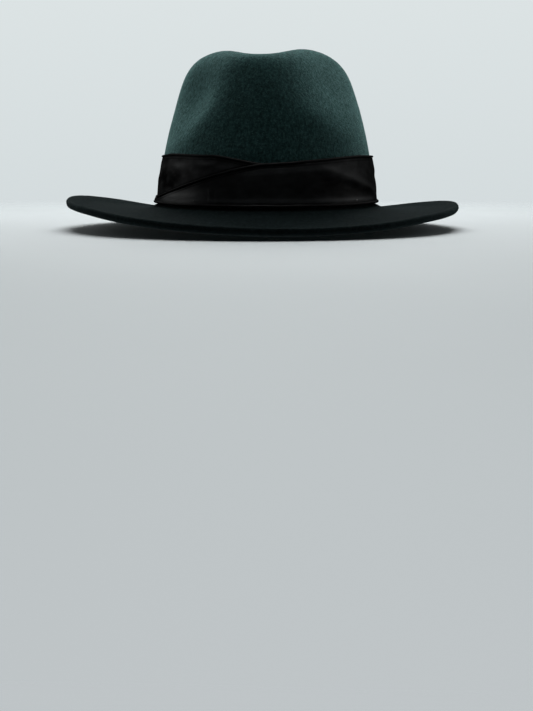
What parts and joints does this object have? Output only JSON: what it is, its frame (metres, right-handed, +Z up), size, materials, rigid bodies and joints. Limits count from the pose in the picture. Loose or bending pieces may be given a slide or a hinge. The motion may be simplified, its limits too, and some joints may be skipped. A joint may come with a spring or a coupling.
{
  "type": "fedora hat",
  "caption": "Soft felt fedora with a creased and pinched crown, a dipped and curled brim, a draped satin band, a sweatband and a lining.",
  "frame": {"origin": "centre of the oval head opening, at the level where the crown meets the brim", "axes": "+Z up through the crown, -Y towards the front of the hat, +X towards the wearer's left"},
  "size_m": [0.3076, 0.3442, 0.1366],
  "materials": {
    "crown_felt": "thick teal-green wool felt, matt and slightly fuzzy, with paler and darker fibres",
    "brim_felt": "thick near-black green wool felt with a raw cut edge",
    "band_satin": "black satin, folded and draped, with a soft sheen",
    "thread": "black sewing thread",
    "cotton_tape": "unbleached woven cotton tape",
    "sweat_leather": "thin dark brown leather, smooth and slightly worn",
    "reed": "black plastic reed",
    "lining_satin": "charcoal satin lining"
  },
  "bodies": {
    "hat": {"crown": "crown_felt", "brim": "brim_felt", "hatband_wrap": "band_satin", "hatband_drape": "band_satin", "wrap_cord_top": "band_satin", "wrap_cord_bottom": "band_satin", "drape_cord_top": "band_satin", "drape_cord_bottom": "band_satin", "drape_tuck": "band_satin", "band_tacks": "thread", "crown_stitches": "thread", "stay_tape": "cotton_tape", "sweatband": "sweat_leather", "sweatband_reed": "reed", "sweatband_stitches": "thread", "sweatband_seam_tape": "cotton_tape", "sweatband_bow": "band_satin", "lining_side": "lining_satin", "lining_tip": "lining_satin", "lining_piping": "band_satin", "size_tab": "cotton_tape"},
    "brim_front": {"brim_front": "brim_felt"}
  },
  "joints": [
    {"name": "brim_front_snap", "type": "hinge", "parent": "hat", "child": "brim_front", "pos_m": [0, -0.107, -0.001], "axis": [-1, 0, 0], "range_deg": [-15, 35], "stiffness_Nm_per_rad": 0.05}
  ]
}
